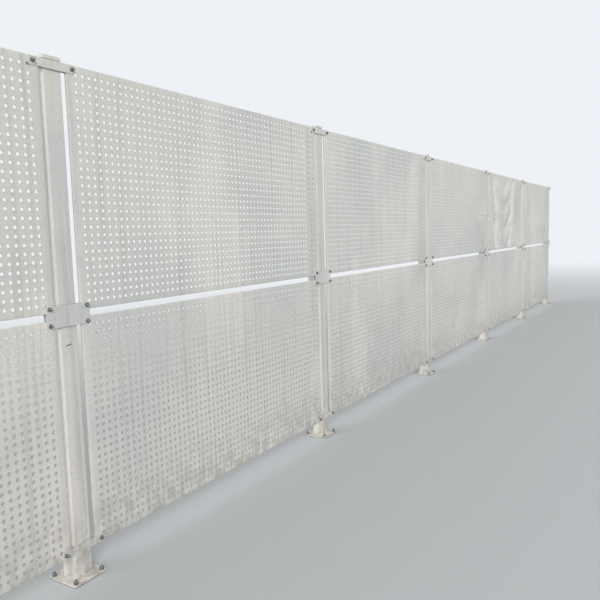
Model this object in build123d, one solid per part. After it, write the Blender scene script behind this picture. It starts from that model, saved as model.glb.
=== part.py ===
from build123d import *
import os

# A straight run of perforated sheet steel hoarding. Square tube posts stand on bolted base
# plates. Two folded panels hang in each bay, one above the other, with a slot between them.
# Flat straps in front and bent hoops behind clamp the panels' ends to the posts, whose faces
# are set back a little from the panels. A plain grid of openings stands for the punched holes.
# Units are millimetres. X runs along the hoarding, the street side faces -Y, Z is up.
# The origin is under the middle post, at the centre of its base plate's underside.

# Driving dimensions of the run
BAY_COUNT = 6
POST_PITCH = 2500
GROUND_CLEARANCE = 140
SLOT_HEIGHT = 35

# Square tube post, set back from the panels' street face
POST_SIZE = 100
POST_SETBACK = 5
POST_WALL = 3
POST_CORNER_RADIUS = 6

# Base plate and its anchor holes
PLATE_SIZE = 200
PLATE_THICKNESS = 10
PLATE_CORNER_RADIUS = 6
ANCHOR_SPACING = 160
ANCHOR_HOLE = 14

# Pressed cap that fits over the post's top
CAP_RISE = 20
CAP_THICKNESS = 2.5
CAP_SKIRT = 14
CAP_CLEARANCE = 0.3
CAP_CHAMFER = 1.5

# Folded sheet panel
PANEL_HEIGHT = 1165
PANEL_GAP = 25
SHEET_THICKNESS = 2
FOLD_DEPTH = 15
FOLD_RADIUS = 2
LIP = 15
LIP_GAP = 2
RELIEF_EASE = 1

# Grid of openings with the same open share as 18 mm holes at 40 mm spacing
OPENING_COLUMNS = 12
OPENING_ROWS = 6
OPENING_SIZE = 75

# Straps, hoops and the bolt holes that they share with the panels
STRAP_THICKNESS = 4
STRAP_HEIGHT = 40
STRAP_CORNER_RADIUS = 3
STRAP_END = 18
MIDDLE_STRAP_EDGE = 12
HOOP_EASE = 1
BOLT_HOLE = 11
BOLT_FROM_END = 32
BOLT_FROM_EDGE = 22

# Sizes and places worked out from the driving dimensions
POST_COUNT = BAY_COUNT + 1
MIDDLE_POST = BAY_COUNT // 2
PANEL_LENGTH = POST_PITCH - POST_SIZE - 2 * PANEL_GAP
LOWER_PANEL_MIDDLE = GROUND_CLEARANCE + PANEL_HEIGHT / 2
SLOT_MIDDLE = GROUND_CLEARANCE + PANEL_HEIGHT + SLOT_HEIGHT / 2
UPPER_PANEL_MIDDLE = SLOT_MIDDLE + SLOT_HEIGHT / 2 + PANEL_HEIGHT / 2
PANELS_TOP = UPPER_PANEL_MIDDLE + PANEL_HEIGHT / 2
POST_TOP = PANELS_TOP + CAP_RISE - CAP_THICKNESS
FRONT = -POST_SIZE / 2 - POST_SETBACK
PANEL_BACK = FRONT + FOLD_DEPTH
OPENING_X = PANEL_LENGTH / OPENING_COLUMNS
OPENING_Z = PANEL_HEIGHT / OPENING_ROWS
BOLT_X = POST_SIZE / 2 + PANEL_GAP + BOLT_FROM_END
STRAP_LENGTH = 2 * (BOLT_X + STRAP_END)
CORNER_RELIEF = FOLD_RADIUS + SHEET_THICKNESS + RELIEF_EASE
HOOP_RADIUS = POST_CORNER_RADIUS - HOOP_EASE
MIDDLE_ROWS = SLOT_HEIGHT + 2 * BOLT_FROM_EDGE
MIDDLE_STRAP_HEIGHT = MIDDLE_ROWS + 2 * MIDDLE_STRAP_EDGE


def make_post():
    """Square tube with rounded corners, standing on the base plate."""
    inside = POST_SIZE - 2 * POST_WALL
    inside_radius = max(POST_CORNER_RADIUS - POST_WALL, 0.5)
    section = RectangleRounded(POST_SIZE, POST_SIZE, POST_CORNER_RADIUS)
    section -= RectangleRounded(inside, inside, inside_radius)
    return Pos(0, 0, PLATE_THICKNESS) * extrude(section, POST_TOP - PLATE_THICKNESS)


def make_base_plate():
    """Square plate with an anchor hole at each corner."""
    outline = RectangleRounded(PLATE_SIZE, PLATE_SIZE, PLATE_CORNER_RADIUS)
    outline -= GridLocations(ANCHOR_SPACING, ANCHOR_SPACING, 2, 2) * Circle(ANCHOR_HOLE / 2)
    return extrude(outline, PLATE_THICKNESS)


def make_post_cap():
    """Pressed cap: a flat top on the tube's end and a short skirt round its sides."""
    bore = POST_SIZE + 2 * CAP_CLEARANCE
    bore_radius = POST_CORNER_RADIUS + CAP_CLEARANCE
    size = bore + 2 * CAP_THICKNESS
    height = CAP_SKIRT + CAP_THICKNESS
    body = extrude(RectangleRounded(size, size, bore_radius + CAP_THICKNESS), height)
    top_edges = body.faces().sort_by(Axis.Z)[-1].edges()
    body = chamfer(top_edges, CAP_CHAMFER)
    body -= extrude(RectangleRounded(bore, bore, bore_radius), CAP_SKIRT)
    return Pos(0, 0, POST_TOP - CAP_SKIRT) * body


def bent_sheet(points, length):
    """Sheet whose middle layer follows the points, bent at each of them, its length along Z."""
    path = FilletPolyline(*points, radius=FOLD_RADIUS + SHEET_THICKNESS / 2)
    return Pos(0, 0, -length / 2) * extrude(trace(path, SHEET_THICKNESS), length)


def make_tray():
    """The panel's face with its two upright sides folded back and turned inward as lips.

    The face lies at y = 0 and the folds reach back to FOLD_DEPTH.
    """
    face = SHEET_THICKNESS / 2
    back = FOLD_DEPTH - SHEET_THICKNESS / 2
    side = PANEL_LENGTH / 2 - SHEET_THICKNESS / 2
    tip = PANEL_LENGTH / 2 - LIP
    points = [(-tip, back), (-side, back), (-side, face), (side, face), (side, back), (tip, back)]
    return bent_sheet(points, PANEL_HEIGHT - 2 * CORNER_RELIEF)


def make_top_fold():
    """The folded top side, which goes on from the face and stops short of the upright lips."""
    face = SHEET_THICKNESS / 2
    back = FOLD_DEPTH - SHEET_THICKNESS / 2
    side = PANEL_HEIGHT / 2 - SHEET_THICKNESS / 2
    points = [(PANEL_HEIGHT / 2 - CORNER_RELIEF, face), (side, face), (side, back)]
    points.append((PANEL_HEIGHT / 2 - LIP, back))
    fold = Rot(0, -90, 0) * bent_sheet(points, PANEL_LENGTH - 2 * CORNER_RELIEF)
    lip_end = Box(2 * (LIP + LIP_GAP), 2 * CORNER_RELIEF, 2 * PANEL_HEIGHT)
    for end in (-PANEL_LENGTH / 2, PANEL_LENGTH / 2):
        fold -= Pos(end, FOLD_DEPTH, 0) * lip_end
    return fold


def make_panel():
    """Folded tray, open at the back, with a notch at each corner where two folds meet."""
    top_fold = make_top_fold()
    panel = make_tray() + top_fold + mirror(top_fold, Plane.XY)
    panel -= extrude(Plane.XZ * panel_openings(), SHEET_THICKNESS * 2, both=True)
    return Pos(0, FRONT, 0) * panel


def panel_openings():
    """Outlines cut through a panel's face: the four bolt holes and the grid of openings."""
    across = PANEL_LENGTH - 2 * BOLT_FROM_END
    up = PANEL_HEIGHT - 2 * BOLT_FROM_EDGE
    bolt_holes = GridLocations(across, up, 2, 2) * Circle(BOLT_HOLE / 2)
    grid = GridLocations(OPENING_X, OPENING_Z, OPENING_COLUMNS, OPENING_ROWS)
    return Sketch() + bolt_holes + grid * Rectangle(OPENING_SIZE, OPENING_SIZE)


def bolt_circles(row_spacing):
    """Bolt circles of a strap or hoop: one row, or two where it bridges the slot."""
    rows = 2 if row_spacing > 0 else 1
    centres = GridLocations(2 * BOLT_X, row_spacing, 2, rows)
    return Sketch() + centres * Circle(BOLT_HOLE / 2)


def make_strap(height, row_spacing):
    """Flat strap that lies on the fronts of two panels and crosses the post between them."""
    outline = RectangleRounded(STRAP_LENGTH, height, STRAP_CORNER_RADIUS) - bolt_circles(row_spacing)
    return Pos(0, FRONT, 0) * extrude(Plane.XZ * outline, STRAP_THICKNESS)


def make_hoop(height, row_spacing):
    """Hat-shaped strap bent round the back of the post, its wings on the panels' end lips."""
    wing = PANEL_BACK + STRAP_THICKNESS / 2
    leg = POST_SIZE / 2 + STRAP_THICKNESS / 2
    tip = STRAP_LENGTH / 2
    points = [(-tip, wing), (-leg, wing), (-leg, leg), (leg, leg), (leg, wing), (tip, wing)]
    path = FilletPolyline(*points, radius=HOOP_RADIUS + STRAP_THICKNESS / 2)
    hoop = Pos(0, 0, -height / 2) * extrude(trace(path, STRAP_THICKNESS), height)
    holes = Pos(0, PANEL_BACK, 0) * (Plane.XZ * bolt_circles(row_spacing))
    return hoop - extrude(holes, STRAP_THICKNESS * 2, both=True)


def make_clamps():
    """The three straps and three hoops of one post, at the panels' top, slot and foot."""
    levels = [
        (GROUND_CLEARANCE + BOLT_FROM_EDGE, STRAP_HEIGHT, 0),
        (SLOT_MIDDLE, MIDDLE_STRAP_HEIGHT, MIDDLE_ROWS),
        (PANELS_TOP - BOLT_FROM_EDGE, STRAP_HEIGHT, 0),
    ]
    pieces = []
    for middle, height, row_spacing in levels:
        pieces.append(Pos(0, 0, middle) * make_strap(height, row_spacing))
        pieces.append(Pos(0, 0, middle) * make_hoop(height, row_spacing))
    return Compound(children=pieces)


def write(shape, node, x, z=0):
    """Write one node's STEP file with the shape moved to its place in the run."""
    export_step(Pos(x, 0, z) * shape, "parts/" + node + ".step")


def main():
    os.makedirs("parts", exist_ok=True)
    post_pieces = {
        "post": make_post(),
        "base_plate": make_base_plate(),
        "post_cap": make_post_cap(),
        "post_clamps": make_clamps(),
    }
    for index in range(POST_COUNT):
        x = (index - MIDDLE_POST) * POST_PITCH
        for name, shape in post_pieces.items():
            write(shape, f"{name}_{index + 1}", x)

    panel = make_panel()
    for index in range(BAY_COUNT):
        x = (index - MIDDLE_POST + 0.5) * POST_PITCH
        write(panel, f"lower_panel_{index + 1}", x, LOWER_PANEL_MIDDLE)
        write(panel, f"upper_panel_{index + 1}", x, UPPER_PANEL_MIDDLE)


main()
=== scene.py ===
# %% [markdown]
# # A perforated steel hoarding, finished for its picture
# The solid model is loaded first as a fixed frame. It is in metres, the hoarding runs along X,
# the street is on the side of -Y and Z is up. It could be rendered as it is, but its panels have
# no punched holes and its steel has no age, so each cell below adds one thing that the real
# hoarding has.

# %% Load the frame
import math

import bpy
import mathutils
import numpy as np
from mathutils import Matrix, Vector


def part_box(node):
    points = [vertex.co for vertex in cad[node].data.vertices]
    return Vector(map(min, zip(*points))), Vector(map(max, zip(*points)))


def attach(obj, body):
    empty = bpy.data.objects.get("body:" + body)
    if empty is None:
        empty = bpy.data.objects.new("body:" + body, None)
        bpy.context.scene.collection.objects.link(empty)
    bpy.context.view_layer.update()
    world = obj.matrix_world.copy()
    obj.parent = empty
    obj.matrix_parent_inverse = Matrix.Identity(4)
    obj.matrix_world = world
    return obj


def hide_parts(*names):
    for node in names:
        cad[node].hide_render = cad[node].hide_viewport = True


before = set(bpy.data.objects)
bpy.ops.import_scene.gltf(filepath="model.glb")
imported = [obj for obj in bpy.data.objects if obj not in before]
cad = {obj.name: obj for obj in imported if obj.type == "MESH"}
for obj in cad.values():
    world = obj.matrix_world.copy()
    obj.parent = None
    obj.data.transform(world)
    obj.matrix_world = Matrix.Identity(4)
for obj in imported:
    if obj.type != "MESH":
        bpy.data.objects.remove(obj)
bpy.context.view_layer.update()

print("solid nodes loaded:", len(cad))

# %% [markdown]
# ## Where the camera stands
# The photograph looks along the hoarding from eye height, 2.5 m in front of it. A camera could be
# aimed by eye, but then posts and holes drift by many pixels. Here its place, turn and lens come
# from a fit to the panels' edges and the rows of holes, and its three axes are worked out from
# yaw, pitch and roll and written as one matrix.

# %% Camera
CAMERA_PLACE = (-6.984, -2.566, 1.685)
YAW, PITCH, ROLL = (math.radians(a) for a in (58.61, 6.07, -1.56))
FOCAL_PIXELS, IMAGE_PIXELS = 631.1, 600
SENSOR_WIDTH = 36.0


def add_object(name, data):
    """Put a camera, mesh or lamp into the scene as an object."""
    thing = bpy.data.objects.new(name, data)
    bpy.context.scene.collection.objects.link(thing)
    return thing


ahead = np.array([math.sin(YAW) * math.cos(PITCH), math.cos(YAW) * math.cos(PITCH), -math.sin(PITCH)])
level_right = np.array([math.cos(YAW), -math.sin(YAW), 0.0])
level_up = np.cross(level_right, ahead)
right = math.cos(ROLL) * level_right + math.sin(ROLL) * level_up
up = -math.sin(ROLL) * level_right + math.cos(ROLL) * level_up

camera_data = bpy.data.cameras.new("street_camera")
camera_data.sensor_width = SENSOR_WIDTH
camera_data.lens = FOCAL_PIXELS * SENSOR_WIDTH / IMAGE_PIXELS
camera = add_object("street_camera", camera_data)
rows = np.column_stack([right, up, -ahead, CAMERA_PLACE])
camera.matrix_world = mathutils.Matrix([*rows.tolist(), [0, 0, 0, 1]])
bpy.context.scene.camera = camera
print("lens in mm:", round(camera_data.lens, 2))

# %% [markdown]
# ## Putting a computed surface into the scene
# Every new piece is a set of points and faces in numpy arrays. They could be added face by face,
# but a panel has almost 39,000 faces, so whole arrays are handed over with foreach_set. Edges sharper
# than 35 degrees stay crisp and softer ones are shaded smooth, which is how folded sheet looks.

# %% Mesh helpers
CRISP_ABOVE = math.radians(35)
triangles_added = 0


def add_piece(name, points, face_groups, blank_places=None):
    """Make one object of points (n, 3) and of groups of faces, each group an array (faces, sides)."""
    global triangles_added
    corners = np.concatenate([group.ravel() for group in face_groups])
    sides = np.concatenate([np.full(len(group), group.shape[1]) for group in face_groups])
    mesh = bpy.data.meshes.new(name)
    mesh.vertices.add(len(points))
    mesh.vertices.foreach_set("co", points.astype(np.float32).ravel())
    mesh.loops.add(len(corners))
    mesh.loops.foreach_set("vertex_index", corners.astype(np.int32))
    mesh.polygons.add(len(sides))
    mesh.polygons.foreach_set("loop_start", (np.cumsum(sides) - sides).astype(np.int32))
    mesh.polygons.foreach_set("use_smooth", np.ones(len(sides), dtype=bool))
    if blank_places is not None:
        flat_layer = mesh.uv_layers.new(name="blank")
        flat_layer.data.foreach_set("uv", blank_places[corners].astype(np.float32).ravel())
    mesh.update(calc_edges=True)
    mesh.set_sharp_from_angle(angle=CRISP_ABOVE)
    piece = add_object(name, mesh)
    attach(piece, "root")
    triangles_added += int((sides - 2).sum())
    return piece


def join_shells(shells):
    """Join closed shells, each of points and face groups, into one: later indices are shifted."""
    points, groups, count = [], [], 0
    for shell_points, shell_groups in shells:
        points.append(shell_points)
        groups += [group + count for group in shell_groups]
        count += len(shell_points)
    return np.concatenate(points), groups


print("helpers ready")

# %% [markdown]
# ## The folded, punched panels
# Each panel is a 2 mm steel sheet, punched with 57 by 28 round holes of 18 mm at 40 mm spacing.
# All four sides are folded back 15 mm and turned in again as lips. Holes could be cut with a
# boolean, but on 19,000 holes that is slow and leaves ragged faces. Here the flat blank is laid
# out first, as the workshop punches it, and then every point of it is carried round the folds by
# a formula. Each hole is a ring of ten points, joined to its neighbours by six four-sided faces.

# %% Panel sizes
panel_low, panel_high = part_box("upper_panel_1")
PANEL_LENGTH, FOLD_DEPTH, PANEL_HEIGHT = (high - low for low, high in zip(panel_low, panel_high))
SHEET = 0.002
BEND_OUTSIDE = 0.004              # outer radius of a fold
BEND = BEND_OUTSIDE - SHEET / 2   # radius of the sheet's middle layer
LIP = 0.015
LIP_GAP = 0.002                   # between the ends of the level lips and the upright lips
RELIEF = 0.005                    # how far the folds stay back from the corners
COLUMNS, ROWS = 57, 28
HOLE_PITCH, HOLE_RADIUS, RING = 0.040, 0.009, 10

FLAT_U = PANEL_LENGTH / 2 - BEND_OUTSIDE
FLAT_V = PANEL_HEIGHT / 2 - BEND_OUTSIDE
QUARTER = BEND * math.pi / 2
RETURN = FOLD_DEPTH - 2 * BEND_OUTSIDE
hole_u = (np.arange(COLUMNS) - (COLUMNS - 1) / 2) * HOLE_PITCH
hole_v = (np.arange(ROWS) - (ROWS - 1) / 2) * HOLE_PITCH
print("holes a panel:", COLUMNS * ROWS, "margins in mm:",
      round(1000 * (PANEL_LENGTH / 2 - hole_u[-1])), round(1000 * (PANEL_HEIGHT / 2 - hole_v[-1])))


# %% The blank, laid out flat
def fold_steps(lip):
    """Distances past a fold line where points are needed: round the bend, back, round, and the lip."""
    bend = QUARTER * np.arange(1, 4) / 3
    back = QUARTER + RETURN
    return np.concatenate([bend, [back], back + bend, [back + QUARTER + lip - BEND_OUTSIDE]])


def strip(near, far, flip):
    """Four-sided faces between two equally long rows of point numbers."""
    faces = np.stack([near[:-1], near[1:], far[1:], far[:-1]], axis=-1)
    return faces[:, ::-1] if flip else faces


def lay_out_blank():
    """Points (u, v) of the flat blank and its faces, seen from the street with u right and v up.

    Ring point k of a hole is at the angle k * 36 degrees, so 0 points right and 5 left. A, D, C
    and B are the lower left, lower right, upper right and upper left of any four neighbours.
    """
    places, quads, tris = [], [], []
    used = 0

    def number(u, v):
        nonlocal used
        u, v = np.broadcast_arrays(np.asarray(u, float), np.asarray(v, float))
        places.append(np.stack([u.ravel(), v.ravel()], axis=1))
        numbers = used + np.arange(u.size).reshape(u.shape)
        used += u.size
        return numbers

    angle = 2 * math.pi * np.arange(RING) / RING
    ring = number(hole_u[:, None, None] + HOLE_RADIUS * np.cos(angle),
                  hole_v[None, :, None] + HOLE_RADIUS * np.sin(angle))
    A, D, C, B = ring[:-1, :-1], ring[1:, :-1], ring[1:, 1:], ring[:-1, 1:]

    def four(*corners):
        quads.append(np.stack(np.broadcast_arrays(*corners), axis=-1).reshape(-1, 4))

    def three(*corners):
        tris.append(np.stack(np.broadcast_arrays(*corners), axis=-1).reshape(-1, 3))

    # One face in the middle of four holes, two between holes side by side, and three between holes
    # one above the other.
    four(A[..., 1], D[..., 4], C[..., 6], B[..., 9])
    across = ring[:-1, :], ring[1:, :]
    upward = ring[:, :-1], ring[:, 1:]
    four(across[0][:, :-1, 0], across[1][:, :-1, 5], across[1][:, :-1, 4], across[0][:, :-1, 1])
    four(across[1][:, 1:, 6], across[1][:, 1:, 5], across[0][:, 1:, 0], across[0][:, 1:, 9])
    four(upward[0][1:, :, 4], upward[0][1:, :, 3], upward[1][1:, :, 7], upward[1][1:, :, 6])
    four(upward[1][:-1, :, 9], upward[1][:-1, :, 8], upward[0][:-1, :, 2], upward[0][:-1, :, 1])
    four(upward[0][..., 3], upward[0][..., 2], upward[1][..., 8], upward[1][..., 7])

    edge_u = PANEL_LENGTH / 2 - RELIEF
    lip_u = PANEL_LENGTH / 2 - LIP - LIP_GAP
    edge_v = PANEL_HEIGHT / 2 - RELIEF
    line_u = np.concatenate([[-edge_u, -lip_u], hole_u, [lip_u, edge_u]])
    line_v = np.concatenate([[-edge_v], hole_v, [edge_v]])

    # From the top and the bottom row of holes to the fold line, and on round the fold. Of a ring's
    # points on that side, a and c are on the right, b and d on the left, c and d nearer the fold.
    for side in (1, -1):
        flip = side < 0
        row = ring[:, -1 if side > 0 else 0]
        a, b, c, d = (1, 4, 2, 3) if side > 0 else (9, 6, 8, 7)
        line = number(line_u, side * FLAT_V)
        inner = line[2:-2]
        faces = [(row[:-1, 0], row[1:, 5], row[1:, b], row[:-1, a]),
                 (row[:-1, a], row[1:, b], inner[1:], inner[:-1])]
        for face in faces:
            four(*(face[::-1] if flip else face))
        faces = [(row[1:, b], row[1:, d], inner[1:]), (row[:-1, a], inner[:-1], row[:-1, c]),
                 (row[:, d], row[:, c], inner)]
        for face in faces:
            three(*(face[::-1] if flip else face))
        near = line
        for step, past in enumerate(fold_steps(LIP)):
            far = number(line_u, side * (FLAT_V + past))
            keep = slice(None) if step < 4 else slice(1, -1)
            quads.append(strip(near[keep], far[keep], flip))
            near = far
        if side > 0:
            top_line = line
        else:
            bottom_line = line

    # The same at the right and the left: a and c are above the hole's middle, b and d below it, and
    # a and b are nearer the fold.
    for side in (1, -1):
        flip = side < 0
        column = ring[-1 if side > 0 else 0]
        a, b, c, d = (1, 9, 2, 8) if side > 0 else (4, 6, 3, 7)
        mid = 0 if side > 0 else 5
        line = number(side * FLAT_U, line_v)
        inner = line[1:-1]
        faces = [(column[1:, b], column[1:, d], column[:-1, c], column[:-1, a]),
                 (column[:-1, a], inner[:-1], inner[1:], column[1:, b])]
        for face in faces:
            four(*(face[::-1] if flip else face))
        faces = [(column[:-1, mid], inner[:-1], column[:-1, a]),
                 (inner[1:], column[1:, mid], column[1:, b])]
        for face in faces:
            three(*(face[::-1] if flip else face))
        near = line
        for past in fold_steps(LIP):
            far = number(side * (FLAT_U + past), line_v)
            quads.append(strip(near, far, not flip))
            near = far
        if side > 0:
            right_line = line
        else:
            left_line = line

    # Each corner of the face is a fan of triangles from one point of its corner hole.
    notch = number([edge_u, -edge_u, -edge_u, edge_u], [edge_v, edge_v, -edge_v, -edge_v])
    ne, nw, sw, se = ring[-1, -1], ring[0, -1], ring[0, 0], ring[-1, 0]
    fans = [
        (ne[1], [ne[0], right_line[-2], right_line[-1], notch[0], *top_line[:-4:-1], ne[2]]),
        (nw[4], [nw[3], *top_line[2::-1], notch[1], left_line[-1], left_line[-2], nw[5]]),
        (sw[6], [sw[5], left_line[1], left_line[0], notch[2], *bottom_line[:3], sw[7]]),
        (se[9], [se[8], *bottom_line[-3:], notch[3], right_line[0], right_line[1], se[0]]),
    ]
    for tip, rim in fans:
        three(np.full(len(rim) - 1, tip), np.array(rim[:-1]), np.array(rim[1:]))
    return np.concatenate(places), np.concatenate(quads), np.concatenate(tris)


blank, blank_quads, blank_tris = lay_out_blank()
print("blank points:", len(blank), "faces:", len(blank_quads) + len(blank_tris))


# %% [markdown]
# ## Folding the blank
# On the machine the sheet goes round a bar, so a distance along the blank becomes an angle. The
# formula does the same: past a fold line the distance is spent first on a quarter circle, then
# straight back, then on a second quarter circle, and what is left runs inward as the lip. The
# large flat face never stays quite flat, because punching stretches it, so it gets waves of
# about a millimetre that fade to nothing at the folds. The fifth bay was knocked: its upper
# panel has steep creases, V-shaped waves and a bowed end, and the panel below bulges. These could
# be pushed in with a sculpting brush, but a formula is exact and bends the holes with the sheet.

# %% Fold formula and waves
def carry_round(distance, flat_half):
    """Place outward, depth behind the face and angle turned, for a distance along the blank."""
    past = np.maximum(np.abs(distance) - flat_half, 0.0)
    first = np.clip(past / BEND, 0.0, math.pi / 2)
    straight = np.clip(past - QUARTER, 0.0, RETURN)
    second = np.clip((past - QUARTER - RETURN) / BEND, 0.0, math.pi / 2)
    lip = np.maximum(past - 2 * QUARTER - RETURN, 0.0)
    reach = np.minimum(np.abs(distance), flat_half)
    out = reach + BEND * np.sin(first) - BEND * (1 - np.cos(second)) - lip
    depth = BEND * (1 - np.cos(first)) + straight + BEND * np.sin(second)
    return np.sign(distance) * out, depth, first + second


def waves(u, v, seed, height=0.0012):
    """Sum of three products of sines with drawn phases, faded to zero towards the folds."""
    draw = np.random.default_rng(seed)
    total = np.zeros_like(u)
    for _ in range(3):
        length_u, length_v = draw.uniform(0.5, 1.6), draw.uniform(0.45, 1.1)
        phase_u, phase_v = draw.uniform(0, 2 * math.pi, 2)
        along = np.sin(2 * math.pi * u / length_u + phase_u)
        total += along * np.sin(2 * math.pi * v / length_v + phase_v)
    fade = np.clip(1 - (u / FLAT_U) ** 2, 0, 1) * np.clip(1 - (v / FLAT_V) ** 2, 0, 1)
    return height * total * np.sqrt(fade) * fade


def valley(u, v, start, end, depth, width=0.065):
    """A valley along the straight line from start to end: depth * exp(-(distance / width)^2)."""
    run_u, run_v = end[0] - start[0], end[1] - start[1]
    share = ((u - start[0]) * run_u + (v - start[1]) * run_v) / (run_u ** 2 + run_v ** 2)
    share = np.clip(share, 0, 1)
    square = (u - start[0] - share * run_u) ** 2 + (v - start[1] - share * run_v) ** 2
    return depth * np.exp(-square / width ** 2)


def buckle(u, v):
    """A knocked panel: four steep valleys, V-shaped waves between them, and a bowed right end.

    The waves are a sine of v - 0.45 * |u + 0.2|, which is constant along a V. The right end is
    clamped at its corners, so the bow is a parabola in v, and it grows with a smooth step in u.
    """
    fade = np.clip(1 - (u / FLAT_U) ** 6, 0, 1) * np.clip(1 - (v / FLAT_V) ** 8, 0, 1)
    creases = [((-0.82, 0.50), (-0.62, -0.16), 0.066), ((0.44, 0.50), (0.24, -0.16), 0.058),
               ((-0.80, -0.20), (-0.68, -0.50), 0.050), ((0.30, -0.22), (0.16, -0.50), 0.046)]
    arms = [valley(u, v, start, end, depth) for start, end, depth in creases]
    from_middle = np.abs(u + 0.2)
    between = np.exp(-(from_middle / 0.48) ** 6)
    waves_in_v = 0.016 * np.sin(2 * math.pi * (v - 0.45 * from_middle) / 0.36 + 0.6)
    step = np.clip((u - 0.4) / 0.7, 0, 1)
    bow = 0.045 * step ** 2 * (3 - 2 * step) * np.clip(1 - (v / 0.555) ** 2, 0, 1)
    return (np.max(arms, axis=0) + between * waves_in_v) * fade + bow


def bulge(u, v):
    """The panel under the knocked one, pushed back a little near its top: two bells multiplied."""
    fade = np.clip(1 - (u / FLAT_U) ** 6, 0, 1) * np.clip(1 - (v / FLAT_V) ** 6, 0, 1)
    return 0.022 * np.exp(-(u / 0.55) ** 2 - ((v - 0.25) / 0.25) ** 2) * fade


side_of_fold = carry_round(np.array([FLAT_U + QUARTER]), FLAT_U)[0][0] + SHEET / 2
print("outer length after folding, mm:", round(2000 * float(side_of_fold)))
print("deepest crease, mm:", round(1000 * float(buckle(blank[:, 0], blank[:, 1]).max())))


# %% Fold, thicken and close the sheet
def wall_faces(quads, tris, back):
    """Faces through the sheet's thickness, along every edge that has a face on one side only."""
    starts = np.concatenate([quads.ravel(), tris.ravel()])
    ends = np.concatenate([np.roll(quads, -1, axis=1).ravel(), np.roll(tris, -1, axis=1).ravel()])
    open_edge = ~np.isin(starts * back + ends, ends * back + starts)
    a, b = starts[open_edge], ends[open_edge]
    return np.stack([b, a, a + back, b + back], axis=1)


def folded_panel(low, high, seed, dent):
    """Points of one panel that fills the box from low to high, its middle layer moved half a sheet
    along the sheet's normal for the outer face, and half a sheet against it for the inner face."""
    u, v = blank[:, 0], blank[:, 1]
    x, depth_u, turn_u = carry_round(u, FLAT_U)
    z, depth_v, turn_v = carry_round(v, FLAT_V)
    depth = SHEET / 2 + depth_u + depth_v + waves(u, v, seed)
    if dent is not None:
        depth += dent(u, v)
    turn = turn_u + turn_v
    normal = np.stack([np.sin(turn_u) * np.sign(u), -np.cos(turn), np.sin(turn_v) * np.sign(v)], axis=1)
    middle = np.stack([x + (low[0] + high[0]) / 2, low[1] + depth, z + (low[2] + high[2]) / 2], axis=1)
    return np.concatenate([middle + normal * SHEET / 2, middle - normal * SHEET / 2])


back_start = len(blank)
walls = wall_faces(blank_quads, blank_tris, back_start)
panel_faces = [blank_quads, blank_tris, blank_quads[:, ::-1] + back_start,
               blank_tris[:, ::-1] + back_start, walls]
DENTS = {"upper_panel_5": buckle, "lower_panel_5": bulge}
panel_pieces = []
for tier in ("lower", "upper"):
    for bay in range(1, 7):
        node = f"{tier}_panel_{bay}"
        low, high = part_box(node)
        points = folded_panel(low, high, seed=10 * bay + (tier == "upper"), dent=DENTS.get(node))
        piece = add_piece(f"punched_{node}", points, panel_faces, np.tile(blank, (2, 1)))
        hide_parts(node)
        panel_pieces.append(piece)
print("panels:", len(panel_pieces), "triangles so far:", triangles_added)

# %% [markdown]
# ## Bolts, nuts and anchors
# The straps are held by M10 bolts, pushed through from the hoops behind. Their washers, nuts and
# thread ends are on the street side. Four M12 anchors with nuts hold each base plate. Cylinders
# from the Add menu would look like toys, so every fastener is one profile turned round an axis. A
# hexagon is a radius that depends on the angle, and its chamfer is the smaller of that radius and
# a cone's.

# %% Turned and hexagonal shapes
def turned(profile, sides=24, across_flats=None):
    """Closed shell round local Z from (radius, height) pairs, lowest first.

    The radius at an angle is the profile's, or, for a hexagon, the smaller of the profile's and
    half the width across flats divided by the cosine of the angle from the nearest flat's middle.
    """
    radius, height = np.array(profile).T
    angle = 2 * math.pi * np.arange(sides) / sides
    reach = np.repeat(radius[:, None], sides, axis=1)
    if across_flats is not None:
        off_flat = (angle + math.pi / 6) % (math.pi / 3) - math.pi / 6
        reach = np.minimum(reach, across_flats / 2 / np.cos(off_flat))
    points = np.stack([reach * np.cos(angle), reach * np.sin(angle),
                       np.repeat(height[:, None], sides, axis=1)], axis=-1)
    number = np.arange(points.shape[0] * sides).reshape(-1, sides)
    following = np.roll(number, -1, axis=1)
    quads = np.stack([number[:-1], following[:-1], following[1:], number[1:]], axis=-1).reshape(-1, 4)
    return points.reshape(-1, 3), [quads, number[:1, ::-1], number[-1:]]


def placed(shell, place, towards, spin=0.0):
    """Turn a shell by spin round its axis, aim its axis along towards, and move it to place."""
    points, groups = shell
    turn = np.array([[math.cos(spin), -math.sin(spin), 0],
                     [math.sin(spin), math.cos(spin), 0], [0, 0, 1]])
    aims = {"up": np.eye(3), "street": np.array([[1, 0, 0], [0, 0, -1], [0, 1, 0]]),
            "back": np.array([[1, 0, 0], [0, 0, 1], [0, -1, 0]])}
    return points @ (aims[towards] @ turn).T + np.array(place), groups


def hexagon(across_flats, height, lifted=0.0):
    """Hexagon head or nut: full corners low down, a 30 degree chamfer at the top."""
    corner = across_flats / math.sqrt(3)
    top = across_flats * 0.475
    drop = (corner - top) * math.tan(math.radians(30))
    return turned([(corner, lifted), (corner, lifted + height - drop), (top, lifted + height)],
                  across_flats=across_flats)


def washer(radius, thickness):
    """Flat washer with its edge rounded over."""
    edge = thickness * 0.25
    return turned([(radius, 0), (radius, thickness - edge), (radius - edge, thickness)], sides=16)


def threaded(radius, low, high, pitch, sides=12):
    """Threaded rod end: the radius swings between crest and root once a pitch, and ends in a cone."""
    turns = int((high - low) / pitch)
    heights = low + pitch * np.arange(2 * turns + 1) / 2
    radii = np.where(np.arange(2 * turns + 1) % 2, radius * 0.9, radius)
    profile = list(zip(radii, heights)) + [(radius * 0.72, high + pitch * 0.4)]
    return turned(profile, sides=sides)


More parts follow.
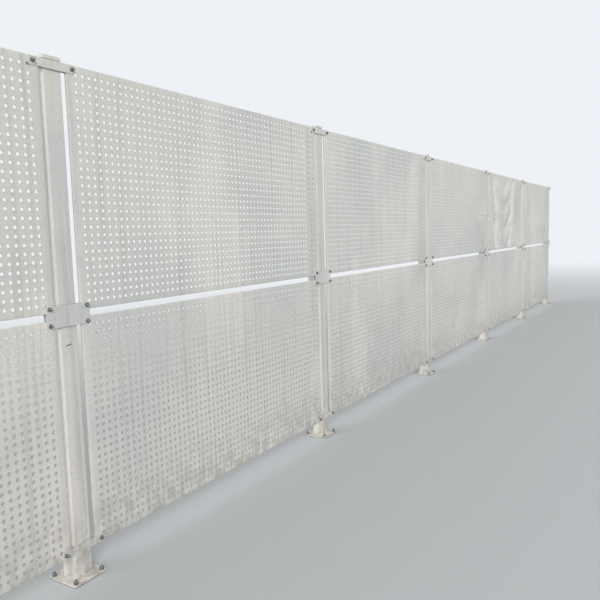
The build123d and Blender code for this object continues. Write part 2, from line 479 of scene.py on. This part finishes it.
def nut_with_end(size, place, towards, spin, end):
    """Shells of a washer, a nut on it and the thread that stands out, its tip so far from place."""
    thickness = size["washer"][1]
    across_flats, height = size["nut"]
    inside_nut = thickness + height - 0.001
    return [placed(washer(*size["washer"]), place, towards),
            placed(hexagon(across_flats, height, thickness), place, towards, spin),
            placed(threaded(size["radius"], inside_nut, end, size["pitch"]), place, towards)]


# A nut is its width across flats and its height, a washer its radius and its thickness.
M10 = {"radius": 0.005, "pitch": 0.0015, "nut": (0.017, 0.008), "washer": (0.0105, 0.002)}
M12 = {"radius": 0.006, "pitch": 0.00175, "nut": (0.019, 0.010), "washer": (0.012, 0.0025)}
print("faces of an M10 nut:", sum(len(group) for group in hexagon(*M10["nut"])[1]))

# %% Strap bolts and their nuts
BOLT_X = 0.107                    # from the post's middle to a bolt
BOLT_FROM_EDGE = 0.022
STRAP_THICKNESS = 0.004
HEAD_HEIGHT = 0.0064
STRAP_FRONT = panel_low[1] - STRAP_THICKNESS
HOOP_BACK = panel_high[1] + STRAP_THICKNESS
BOLT_LEVELS = []
for tier in ("lower", "upper"):
    low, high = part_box(tier + "_panel_1")
    BOLT_LEVELS += [low[2] + BOLT_FROM_EDGE, high[2] - BOLT_FROM_EDGE]
SUNK = 0.001                      # how far a plain shank goes into the washer or nut at its end
shank_ends = [(M10["radius"], -SUNK), (M10["radius"], HOOP_BACK - STRAP_FRONT + SUNK)]
draw = np.random.default_rng(5)


def post_x(post):
    """Where the middle of a post stands, halfway between the sides of its box."""
    low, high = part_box(f"post_{post}")
    return (low[0] + high[0]) / 2


bolt_pieces = []
for post in range(1, 8):
    shells = []
    for side in (-1, 1):
        if (post == 1 and side < 0) or (post == 7 and side > 0):
            continue
        for level in BOLT_LEVELS:
            place = (post_x(post) + side * BOLT_X, STRAP_FRONT, level)
            behind = (place[0], HOOP_BACK, level)
            spin = draw.uniform(0, math.pi / 3)
            head = hexagon(M10["nut"][0], HEAD_HEIGHT, M10["washer"][1])
            shells += nut_with_end(M10, place, "street", spin, draw.uniform(0.016, 0.021))
            shells.append(placed(turned(shank_ends, sides=8), place, "back"))
            shells.append(placed(washer(*M10["washer"]), behind, "back"))
            shells.append(placed(head, behind, "back", spin + 0.4))
    piece = add_piece(f"strap_bolts_{post}", *join_shells(shells))
    bolt_pieces.append(piece)
print("bolt groups:", len(bolt_pieces), "triangles so far:", triangles_added)

# %% Anchors on the base plates
PLATE_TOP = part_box("base_plate_1")[1][2]
ANCHOR_REACH = 0.080              # from the post's middle to an anchor, along X and Y
rod_ends = [(M12["radius"], SUNK - PLATE_TOP), (M12["radius"], SUNK)]

anchor_pieces = []
for post in range(1, 8):
    shells = []
    for x in (-ANCHOR_REACH, ANCHOR_REACH):
        for y in (-ANCHOR_REACH, ANCHOR_REACH):
            place = (post_x(post) + x, y, PLATE_TOP)
            spin = draw.uniform(0, math.pi / 3)
            shells += nut_with_end(M12, place, "up", spin, draw.uniform(0.020, 0.027))
            shells.append(placed(turned(rod_ends, sides=12), place, "up"))
    piece = add_piece(f"plate_anchors_{post}", *join_shells(shells))
    anchor_pieces.append(piece)
print("anchor groups:", len(anchor_pieces), "triangles so far:", triangles_added)


# %% [markdown]
# ## Weld beads
# Each post is welded to its base plate all round. A smooth quarter round would pass from afar,
# but a hand-laid bead has ripples 3 mm apart and swells a little where the welder slowed down.
# The bead is a small arc carried along the post's rounded outline, and its size swings along it.

# %% Bead carried round the post
POST_HALF, POST_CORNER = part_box("post_4")[1][0], 0.006
BEAD_STEPS, RIPPLE = 264, 0.003
BEAD_ROUND = 0.38                 # the bead swells 2, 5 and 9 times in this length


def square_path(half, corner, count):
    """Points and outward directions on a rounded square, evenly spaced along its length."""
    straight = 2 * (half - corner)
    arc = corner * math.pi / 2
    along = np.arange(count) * 4 * (straight + arc) / count
    side, rest = np.divmod(along, straight + arc)
    turned_by = np.clip((rest - straight) / corner, 0, math.pi / 2)
    run = np.minimum(rest, straight) - straight / 2
    x = run + corner * np.sin(turned_by)
    y = -(half - corner) - corner * np.cos(turned_by)
    heading = side * math.pi / 2
    outward = heading + turned_by - math.pi / 2
    places = np.stack([x * np.cos(heading) - y * np.sin(heading),
                       x * np.sin(heading) + y * np.cos(heading)], axis=1)
    return places, np.stack([np.cos(outward), np.sin(outward)], axis=1), along


def weld_bead(centre_x, seed, leg=0.006):
    """Quarter circle of radius leg, swung by ripples 3 mm apart, swept round the post's foot."""
    places, outward, along = square_path(POST_HALF, POST_CORNER, BEAD_STEPS)
    draw = np.random.default_rng(seed)
    slow = sum(np.sin(along * k / BEAD_ROUND * 2 * math.pi + draw.uniform(0, 6.3)) for k in (2, 5, 9))
    size = leg * (1 + 0.09 * np.sin(along / RIPPLE * 2 * math.pi) + 0.05 * slow)
    arc = np.linspace(0, math.pi / 2, 3)
    off = np.concatenate([[-0.0015], np.cos(arc), [-0.0015]])
    rise = np.concatenate([[-0.001], np.sin(arc), [0.004]])
    scale = np.repeat(size[:, None], len(off), axis=1)
    scale[:, [0, -1]] = 1.0
    x = centre_x + places[:, :1] + outward[:, :1] * off * scale
    y = places[:, 1:] + outward[:, 1:] * off * scale
    z = PLATE_TOP + rise * scale
    points = np.stack([x, y, z], axis=-1)
    number = np.arange(points.shape[0] * points.shape[1]).reshape(points.shape[:2])
    ahead_row, next_column = np.roll(number, -1, axis=0), np.roll(number, -1, axis=1)
    faces = np.stack([number, ahead_row, np.roll(ahead_row, -1, axis=1), next_column], axis=-1)
    return points.reshape(-1, 3), [faces.reshape(-1, 4)]


bead_pieces = []
for post in range(1, 8):
    piece = add_piece(f"weld_bead_{post}", *weld_bead(post_x(post), seed=post))
    bead_pieces.append(piece)
print("weld beads:", len(bead_pieces), "triangles added in all:", triangles_added)

# %% [markdown]
# ## Building materials from nodes
# A material is a small network of nodes. It could be drawn by hand in the editor, but a script
# has to make the same network every time. One function adds a node, sets what it is told to set
# and links what it is given. Colours are written as the usual sRGB hex values and turned into
# the linear values that the renderer works with.

# %% Node and colour helpers
def linear(code):
    """Linear RGBA of an sRGB hex colour: divided by 12.92 near black, else a power of 2.4."""
    parts = np.array([int(code[i:i + 2], 16) for i in (0, 2, 4)]) / 255
    parts = np.where(parts <= 0.04045, parts / 12.92, ((parts + 0.055) / 1.055) ** 2.4)
    return (*parts.tolist(), 1.0)


def add_node(tree, kind, settings=None, inputs=None):
    """Add one node. A setting is a property of it. An input is a number, a colour or a node or
    socket to link from. Only the sockets that the settings leave in use are looked at."""
    node = tree.nodes.new(kind)
    for name, value in (settings or {}).items():
        setattr(node, name, value)
    for name, value in (inputs or {}).items():
        in_use = [socket for socket in node.inputs if socket.enabled]
        socket = in_use[name] if isinstance(name, int) else next(s for s in in_use if s.name == name)
        if isinstance(value, bpy.types.Node):
            value = next(s for s in value.outputs if s.enabled)
        if isinstance(value, bpy.types.NodeSocket):
            tree.links.new(value, socket)
        else:
            socket.default_value = value
    return node


def new_material(name):
    """An empty material with its own node tree."""
    material = bpy.data.materials.new(name)
    material.use_nodes = True
    material.node_tree.nodes.clear()
    return material, material.node_tree


print("white in linear light:", linear("FFFFFF")[0])


# %% [markdown]
# ## Weathered powder coat
# Panels, posts, caps and straps are steel with an off-white powder coat: a baked polyester skin,
# matt after years outside. What the eye gets from it is broad chalky patches, rain streaks that
# run down, fine mottling from dust, brown splash near the ground and dust on ledges. Painted
# images could give that, but they stretch and repeat, so each effect is a noise whose scale comes
# from a real size. The coat's own orange-peel skin has 2 mm waves. That is too fine to show here,
# so it is drawn at 5 mm.

# %% Patterns that the coats share
COAT = linear("DAD7D2")
CHALK = linear("E3DFD8")
SHADE = linear("CDCECC")
STREAK = linear("9DA0A0")
SPLASH = linear("8C8374")
DUST = linear("C0BCB3")
RUST = linear("7A4B2C")


def spread(tree, source, start, finish, top=1.0):
    """Rise softly from 0 where source is start to top where it is finish, or fall if start is larger."""
    return add_node(tree, "ShaderNodeMapRange", {"interpolation_type": "SMOOTHSTEP"},
                    {"Value": source, "From Min": start, "From Max": finish, "To Min": 0.0, "To Max": top})


def height_of(tree, place):
    """Height above the ground, in metres."""
    return add_node(tree, "ShaderNodeSeparateXYZ", {}, {0: place}).outputs["Z"]


def noise(tree, place, sizes_mm, detail=3.0):
    """Noise whose blobs are about so many millimetres wide along X, Y and Z."""
    scaled = add_node(tree, "ShaderNodeVectorMath", {"operation": "MULTIPLY"},
                      {0: place, 1: tuple(1000.0 / size for size in sizes_mm)})
    return add_node(tree, "ShaderNodeTexNoise", {}, {"Vector": scaled, "Scale": 1.0, "Detail": detail})


def layer(tree, under, over, mask):
    """Lay a colour over another where the mask is 1."""
    return add_node(tree, "ShaderNodeMix", {"data_type": "RGBA"}, {"Factor": mask, "A": under, "B": over})


def times(tree, *masks):
    """Product of masks."""
    result = masks[0]
    for mask in masks[1:]:
        result = add_node(tree, "ShaderNodeMath", {"operation": "MULTIPLY"}, {0: result, 1: mask})
    return result


def stroke(tree, place, centre, angle, length, width):
    """Mask of a short scratch: near enough to a line through centre, and not past its ends."""
    off = add_node(tree, "ShaderNodeVectorMath", {"operation": "SUBTRACT"}, {0: place, 1: centre})
    lines = ((math.cos(angle), 0, math.sin(angle)), (-math.sin(angle), 0, math.cos(angle)), (0, 1, 0))
    masks = []
    for line, reach in zip(lines, (length / 2, width / 2, 0.02)):
        along = add_node(tree, "ShaderNodeVectorMath", {"operation": "DOT_PRODUCT"}, {0: off, 1: line})
        size = add_node(tree, "ShaderNodeMath", {"operation": "ABSOLUTE"}, {0: along})
        masks.append(spread(tree, size, reach * 1.2, reach * 0.5))
    return times(tree, *masks)


def coat_colour(tree, place, streaks=0.5, splash_top=0.5, seed=0.0):
    """Colour of the weathered coat: patches, streaks, mottling, splash near the ground and dust."""
    shifted = add_node(tree, "ShaderNodeVectorMath", {"operation": "ADD"},
                       {0: place, 1: (seed, 0.0, seed)})
    patches = noise(tree, shifted, (1400, 1400, 900), 4.0)
    colour = layer(tree, SHADE, COAT, spread(tree, patches, 0.36, 0.60))
    pale = noise(tree, shifted, (700, 700, 1100), 5.0)
    colour = layer(tree, colour, CHALK, spread(tree, pale, 0.50, 0.66, 0.85))
    runs = noise(tree, shifted, (34, 34, 1300), 5.0)
    colour = layer(tree, colour, STREAK, spread(tree, runs, 0.50, 0.72, streaks))
    light_runs = noise(tree, shifted, (55, 55, 1700), 3.0)
    colour = layer(tree, colour, CHALK, spread(tree, light_runs, 0.54, 0.72, 0.35))
    mottle = noise(tree, shifted, (17, 17, 17), 6.0)
    colour = layer(tree, colour, STREAK, spread(tree, mottle, 0.48, 0.75, 0.22))
    low = spread(tree, height_of(tree, place), splash_top, 0.05, 0.5)
    spatter = spread(tree, noise(tree, shifted, (60, 60, 90), 8.0), 0.36, 0.66)
    colour = layer(tree, colour, SPLASH, times(tree, low, spatter))
    facing = add_node(tree, "ShaderNodeNewGeometry")
    upward = add_node(tree, "ShaderNodeSeparateXYZ", {}, {0: facing.outputs["Normal"]}).outputs["Z"]
    settled = times(tree, spread(tree, upward, 0.6, 0.95, 0.5), spread(tree, mottle, 0.3, 0.6))
    return layer(tree, colour, DUST, settled), mottle


def finish_coat(tree, place, colour, mottle, rough=0.58):
    """Shader of the coat: matt polyester, uneven gloss, and the orange-peel skin as bump."""
    skin = noise(tree, place, (5, 5, 5), 2.0)
    bump = add_node(tree, "ShaderNodeBump", {}, {"Strength": 0.25, "Distance": 0.0004, "Height": skin})
    gloss = add_node(tree, "ShaderNodeMapRange", {}, {"Value": mottle, "From Min": 0.3, "From Max": 0.7,
                                                     "To Min": rough - 0.08, "To Max": rough + 0.16})
    shader = add_node(tree, "ShaderNodeBsdfPrincipled", {},
                      {"Base Color": colour, "Roughness": gloss, "IOR": 1.5, "Normal": bump})
    add_node(tree, "ShaderNodeOutputMaterial", {}, {"Surface": shader})


print("coat colour, linear:", [round(part, 3) for part in COAT[:3]])

# %% [markdown]
# ## The panels' coat
# Punching leaves a bare rim at each hole. Dirt gathers there, and some holes weep a thin line
# below them after rain. Nineteen thousand rims can't be painted one by one, so the material
# works them out from the blank's own coordinates: the fraction of a coordinate divided by the
# hole pitch tells how far a point is from the middle of its nearest hole.

# %% Panel material
panel_coat, tree = new_material("weathered_powder_coat_on_punched_sheet")
place = add_node(tree, "ShaderNodeTexCoord").outputs["Object"]
colour, mottle = coat_colour(tree, place, streaks=0.25, splash_top=0.55)

flat_place = add_node(tree, "ShaderNodeUVMap", {"uv_map": "blank"})
cells = add_node(tree, "ShaderNodeVectorMath", {"operation": "MULTIPLY_ADD"},
                 {0: flat_place, 1: (1 / HOLE_PITCH, 1 / HOLE_PITCH, 0), 2: (0.5, 0.0, 0.0)})
in_cell = add_node(tree, "ShaderNodeVectorMath", {"operation": "FRACTION"}, {0: cells})
from_hole = add_node(tree, "ShaderNodeVectorMath", {"operation": "SUBTRACT"},
                     {0: in_cell, 1: (0.5, 0.5, 0)})
ring_distance = add_node(tree, "ShaderNodeVectorMath", {"operation": "LENGTH"}, {0: from_hole})
hole_edge = HOLE_RADIUS / HOLE_PITCH
rim = spread(tree, ring_distance, hole_edge + 0.06, hole_edge, 0.5)
offsets = add_node(tree, "ShaderNodeSeparateXYZ", {}, {0: from_hole})
sideways = add_node(tree, "ShaderNodeMath", {"operation": "ABSOLUTE"}, {0: offsets.outputs["X"]})
thin = spread(tree, sideways, 0.09, 0.02)
below = spread(tree, offsets.outputs["Y"], -0.5, -0.2)
under = add_node(tree, "ShaderNodeMath", {"operation": "LESS_THAN"}, {0: offsets.outputs["Y"], 1: -0.1})
which = add_node(tree, "ShaderNodeVectorMath", {"operation": "FLOOR"}, {0: cells})
off_whole = (0.37, 0.61, 0.2)     # rounding at a whole number would change the chance in a hole
counted = add_node(tree, "ShaderNodeVectorMath", {"operation": "ADD"}, {0: which, 1: off_whole})
chance = add_node(tree, "ShaderNodeTexWhiteNoise", {"noise_dimensions": "3D"}, {"Vector": counted})
weeps = spread(tree, chance.outputs["Value"], 0.55, 0.95, 0.55)
line_of_holes = add_node(tree, "ShaderNodeVectorMath", {"operation": "ABSOLUTE"}, {0: flat_place})
reach = add_node(tree, "ShaderNodeSeparateXYZ", {}, {0: line_of_holes})
inside_u = add_node(tree, "ShaderNodeMath", {"operation": "LESS_THAN"},
                    {0: reach.outputs["X"], 1: COLUMNS * HOLE_PITCH / 2})
inside_v = add_node(tree, "ShaderNodeMath", {"operation": "LESS_THAN"},
                    {0: reach.outputs["Y"], 1: ROWS * HOLE_PITCH / 2})
punched = times(tree, inside_u, inside_v)
colour = layer(tree, colour, STREAK, times(tree, rim, punched))
colour = layer(tree, colour, SPLASH, times(tree, thin, below, under, weeps, punched))
scratch_place = (-4.836, -0.055, 1.221)   # on the second bay's lower panel, near its top left corner
mark = stroke(tree, place, scratch_place, 0.82, 0.022, 0.006)
colour = layer(tree, colour, linear("4C5052"), mark)
finish_coat(tree, place, colour, mottle)
for piece in panel_pieces:
    piece.data.materials.append(panel_coat)
print("panel material nodes:", len(tree.nodes))


# %% [markdown]
# ## Posts, caps, straps and plates
# The other coated parts are solids of the frame, and their shapes stay as they are. Each kind
# gets its own material of the same family. Posts carry stronger streaks, a dark scuff at hip
# height and rust that creeps up from the weld. Caps and straps have a few rust spots where the
# coat is chipped. The plates get a painted shadow: a dark line just above the ground, where the
# plate meets the floor. One shared material would be shorter, but then the plates would be as
# streaky as the posts.

# %% Coats of the solid parts
def coat_material(name, streaks, splash_top, seed, rough, extra=None):
    """A coat of the family. extra is a function that lays more over the colour."""
    material, tree = new_material(name)
    place = add_node(tree, "ShaderNodeTexCoord").outputs["Object"]
    colour, mottle = coat_colour(tree, place, streaks, splash_top, seed)
    if extra is not None:
        colour = extra(tree, place, colour)
    finish_coat(tree, place, colour, mottle, rough)
    return material


def post_marks(tree, place, colour):
    """A dark scuff on the second post's street face, and rust creeping up from the weld."""
    scuff = stroke(tree, place, (-5.006, -0.05, 1.179), 0.16, 0.038, 0.006)
    colour = layer(tree, colour, linear("3E4142"), scuff)
    foot = spread(tree, height_of(tree, place), 0.04, 0.012, 0.4)
    creep = spread(tree, noise(tree, place, (14, 14, 20), 6.0), 0.46, 0.62)
    return layer(tree, colour, RUST, times(tree, foot, creep))


def plate_painted_shadow_line(tree, place, colour):
    """Painted shadow: a dark line in the last millimetres above the ground, all round the plate's edge,
    where it meets the floor.
    """
    # painted shade: this dark band stands in for the contact shadow at the plate's foot
    painted_shadow_line = spread(tree, height_of(tree, place), 0.006, 0.002, 0.85)
    return layer(tree, colour, linear("55534F"), painted_shadow_line)


def rust_spots(tree, place, colour):
    """Small rust spots where the coat is chipped."""
    spots = spread(tree, noise(tree, place, (16, 16, 16), 4.0), 0.70, 0.78, 0.7)
    return layer(tree, colour, RUST, spots)


post_coat = coat_material("weathered_powder_coat_on_tube", 0.45, 0.45, 3.1, 0.56, post_marks)
cap_coat = coat_material("weathered_powder_coat_on_pressed_cap", 0.2, 0.3, 7.7, 0.60, rust_spots)
strap_coat = coat_material("weathered_powder_coat_on_flat_bar", 0.35, 0.45, 5.3, 0.56, rust_spots)
# the plates' coat has real splash dirt and a painted shadow line along its foot
plate_coat_with_painted_shadow = coat_material("soiled_powder_coat_with_painted_shadow_line_on_plate", 0.3, 0.06, 9.4, 0.66, plate_painted_shadow_line)
coats = {"post_cap": cap_coat, "post_clamps": strap_coat, "base_plate": plate_coat_with_painted_shadow, "post_": post_coat}
for node, thing in cad.items():
    for prefix, coat in coats.items():
        if node.startswith(prefix):
            for holder in thing.material_slots:
                holder.material = coat
            break
print("coated solids:", sum("panel" not in node for node in cad))

# %% [markdown]
# ## Zinc plate and weld
# The fasteners are zinc-plated steel. Fresh zinc is bright, but outside it turns a dull grey with
# a soft sheen, and rust starts in the corners. It is a metal shader with a fairly rough surface,
# and patches of it lose their metal look where the rust is. The weld beads were painted over with
# the post, and the paint is thin on their ripples, so rust shows through.

# %% Zinc and weld materials
zinc, tree = new_material("dull_zinc_plated_steel")
place = add_node(tree, "ShaderNodeTexCoord").outputs["Object"]
clouding = noise(tree, place, (6, 6, 6), 4.0)
rusty = spread(tree, noise(tree, place, (11, 11, 11), 5.0), 0.56, 0.70, 0.8)
grey = layer(tree, linear("6E7273"), linear("9A9D9C"), spread(tree, clouding, 0.35, 0.65))
colour = layer(tree, grey, linear("5A3A26"), rusty)
metal = add_node(tree, "ShaderNodeMath", {"operation": "SUBTRACT"}, {0: 1.0, 1: rusty})
gloss = add_node(tree, "ShaderNodeMapRange", {}, {"Value": clouding, "From Min": 0.3, "From Max": 0.7,
                                                 "To Min": 0.38, "To Max": 0.62})
shader = add_node(tree, "ShaderNodeBsdfPrincipled", {},
                  {"Base Color": colour, "Metallic": metal, "Roughness": gloss})
add_node(tree, "ShaderNodeOutputMaterial", {}, {"Surface": shader})

weld_coat = coat_material("thin_paint_on_weld", 0.2, 0.2, 2.2, 0.6, lambda tree, place, colour: layer(
    tree, colour, RUST, spread(tree, noise(tree, place, (9, 9, 9), 5.0), 0.60, 0.74, 0.5)))
for piece in bolt_pieces + anchor_pieces:
    piece.data.materials.append(zinc)
for piece in bead_pieces:
    piece.data.materials.append(weld_coat)
print("materials in the file:", len(bpy.data.materials))

# %% [markdown]
# ## Floor, backdrop and light
# The picture needs a plain pale floor that keeps the hoarding's shadow and fades into a backdrop,
# which is a shade darker than white, so that sunlit edges still stand out from it. A world as
# bright as that would light the object too strongly, so it is bright only for rays that come from
# the camera or from a shiny or clear surface, and dimmer for the rays that light things. A wide,
# soft sun from the upper left gives shape. A weaker one, from behind on the left, draws the bright
# strip along each post's left edge, as daylight did there. The floor is grey near the hoarding, so
# that the holes low down, which show the floor, read darker than the coat.

# %% Floor
BACKDROP = linear("EEF2F6")
FLOOR_HALF = 60
FADE_START, FADE_END = 3.0, 12.0
ALONG_SHARE = 0.45                # the grey zone is longer along the hoarding than across it


def looked_at(tree):
    """1 for rays that come from the camera or from a shiny or clear surface, else 0."""
    rays = add_node(tree, "ShaderNodeLightPath")
    mirrored = add_node(tree, "ShaderNodeMath", {"operation": "MAXIMUM"},
                        {0: rays.outputs["Is Glossy Ray"], 1: rays.outputs["Is Transmission Ray"]})
    return add_node(tree, "ShaderNodeMath", {"operation": "MAXIMUM"},
                    {0: rays.outputs["Is Camera Ray"], 1: mirrored})


floor_mesh = bpy.data.meshes.new("studio_floor")
signs = [(-1, -1), (1, -1), (1, 1), (-1, 1)]
floor_mesh.from_pydata([(x * FLOOR_HALF, y * FLOOR_HALF, 0) for x, y in signs], [], [(0, 1, 2, 3)])
floor = add_object("studio_floor", floor_mesh)

floor_paint, tree = new_material("pale_floor")
place = add_node(tree, "ShaderNodeTexCoord").outputs["Object"]
narrowed = add_node(tree, "ShaderNodeVectorMath", {"operation": "MULTIPLY"},
                    {0: place, 1: (ALONG_SHARE, 1, 0)})
distance = add_node(tree, "ShaderNodeVectorMath", {"operation": "LENGTH"}, {0: narrowed})
faded = times(tree, spread(tree, distance, FADE_START, FADE_END), looked_at(tree))
matt = add_node(tree, "ShaderNodeBsdfDiffuse", {}, {"Color": linear("C3C6C8")})
glow = add_node(tree, "ShaderNodeEmission", {}, {"Color": BACKDROP, "Strength": 1.0})
mixed = add_node(tree, "ShaderNodeMixShader", {}, {0: faded, 1: matt, 2: glow})
add_node(tree, "ShaderNodeOutputMaterial", {}, {"Surface": mixed})
floor_mesh.materials.append(floor_paint)
print("floor half width in m:", FLOOR_HALF)

# %% World and sun
world = bpy.data.worlds.new("studio_world")
bpy.context.scene.world = world
world.use_nodes = True
tree = world.node_tree
tree.nodes.clear()
soft = add_node(tree, "ShaderNodeBackground", {}, {"Color": linear("F6F8FA"), "Strength": 0.6})
pale = add_node(tree, "ShaderNodeBackground", {}, {"Color": BACKDROP, "Strength": 1.0})
mixed = add_node(tree, "ShaderNodeMixShader", {}, {0: looked_at(tree), 1: soft, 2: pale})
add_node(tree, "ShaderNodeOutputWorld", {}, {"Surface": mixed})


def add_sun(name, source, strength, width, colour=(1.0, 1.0, 1.0)):
    """A lamp as far off as the sun, in the direction source, that looks width degrees wide."""
    lamp = bpy.data.lights.new(name, "SUN")
    lamp.energy = strength
    lamp.angle = math.radians(width)
    lamp.color = colour
    add_object(name, lamp).rotation_euler = mathutils.Vector(source).to_track_quat("Z", "Y").to_euler()


TO_SUN = (-0.70, -0.58, 0.44)
add_sun("soft_sun", TO_SUN, 1.8, 22, (1.0, 0.98, 0.94))
add_sun("rim_light", (-0.75, 0.45, 0.5), 0.8, 40)
bpy.context.scene.view_settings.view_transform = "Standard"
print("sun height in degrees:", round(math.degrees(math.atan2(TO_SUN[2], math.hypot(*TO_SUN[:2]))), 1))
